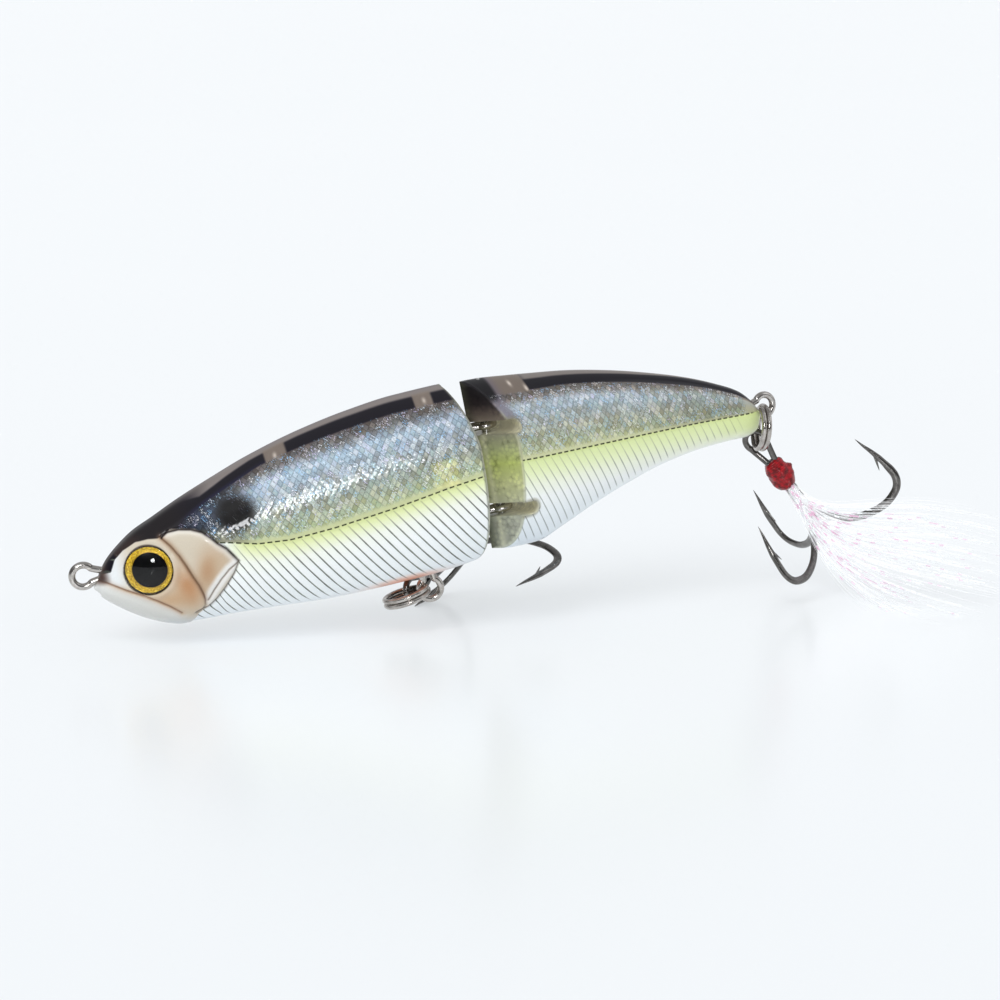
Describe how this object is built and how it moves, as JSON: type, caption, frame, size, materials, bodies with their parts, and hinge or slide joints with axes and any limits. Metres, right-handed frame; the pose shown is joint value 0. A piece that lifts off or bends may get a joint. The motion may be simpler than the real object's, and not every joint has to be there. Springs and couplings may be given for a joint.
{
  "type": "jointed swimbait",
  "caption": "Jointed fish-shaped fishing lure: a front and a rear body section on a vertical hinge pin, split rings, a belly treble hook and a feather-dressed tail treble.",
  "frame": {"origin": "centre of the line-tie ring at the nose", "axes": "+X from nose to tail along the front section, +Z towards the dorsal edge, +Y to the fish's right side"},
  "size_m": [0.1652, 0.0428, 0.068],
  "materials": {
    "left_shell_paint": "clear-coated holographic scale paint over pearl white",
    "right_shell_paint": "clear-coated holographic scale paint over pearl white",
    "rear_left_paint": "clear-coated holographic scale paint over pearl white",
    "rear_right_paint": "clear-coated holographic scale paint over pearl white",
    "nickel_wire": "bright nickel-plated stainless wire",
    "hinge_steel": "polished stainless wire",
    "pin_steel": "ground stainless pin",
    "eye_foil": "printed gold foil with a black pupil",
    "eye_resin": "clear domed resin",
    "ballast_metal": "plain cast weight",
    "split_ring_nickel": "nickel-plated spring wire",
    "hook_black_nickel": "black-nickel plated, forged and needle sharpened",
    "hook_single_black_nickel": "black-nickel plated, forged and needle sharpened",
    "red_thread": "red thread under clear varnish",
    "white_hackle": "white feather barbs",
    "pearl_tinsel": "pearl flash strands"
  },
  "bodies": {
    "front_body": {"front_shell_left": "left_shell_paint", "front_shell_right": "right_shell_paint", "line_tie_wire": "nickel_wire", "belly_hanger_wire": "nickel_wire", "upper_hinge_eye": "hinge_steel", "lower_hinge_eye": "hinge_steel", "left_eye_foil": "eye_foil", "left_eye_dome": "eye_resin", "right_eye_foil": "eye_foil", "right_eye_dome": "eye_resin", "front_ballast": "ballast_metal"},
    "rear_body": {"rear_shell_left": "rear_left_paint", "rear_shell_right": "rear_right_paint", "hinge_pin": "pin_steel", "tail_eye_wire": "nickel_wire", "rear_ballast": "ballast_metal"},
    "belly_ring": {"belly_split_ring": "split_ring_nickel"},
    "belly_hook": {"belly_hook_double": "hook_black_nickel", "belly_hook_single": "hook_single_black_nickel"},
    "tail_ring": {"tail_split_ring": "split_ring_nickel"},
    "tail_hook": {"tail_hook_double": "hook_black_nickel", "tail_hook_single": "hook_single_black_nickel", "thread_wrap": "red_thread", "feather_hackle": "white_hackle", "flash_tinsel": "pearl_tinsel"}
  },
  "joints": [
    {"name": "body_hinge", "type": "hinge", "parent": "front_body", "child": "rear_body", "pos_m": [0.0716, 0, 0.003], "axis": [0, 0, 1], "range_deg": [-43, 9]},
    {"name": "belly_ring_swing", "type": "hinge", "parent": "front_body", "child": "belly_ring", "pos_m": [0.05505, 0, -0.0159], "axis": [0, 0, 1], "range_deg": [-1, 25]},
    {"name": "belly_hook_drop", "type": "hinge", "parent": "belly_ring", "child": "belly_hook", "pos_m": [0.0545, 0.00312, -0.01618], "axis": [-0.6377, 0.7697, -0.031], "range_deg": [-1, 110]},
    {"name": "tail_ring_swing", "type": "hinge", "parent": "rear_body", "child": "tail_ring", "pos_m": [0.12403, 0.01603, -0.00169], "axis": [0.2924, -0.9563, 0], "range_deg": [-4, 90]},
    {"name": "tail_hook_swing", "type": "hinge", "parent": "tail_ring", "child": "tail_hook", "pos_m": [0.12198, 0.01826, -0.00809], "axis": [0.2924, -0.9563, 0], "range_deg": [-1, 60]}
  ]
}
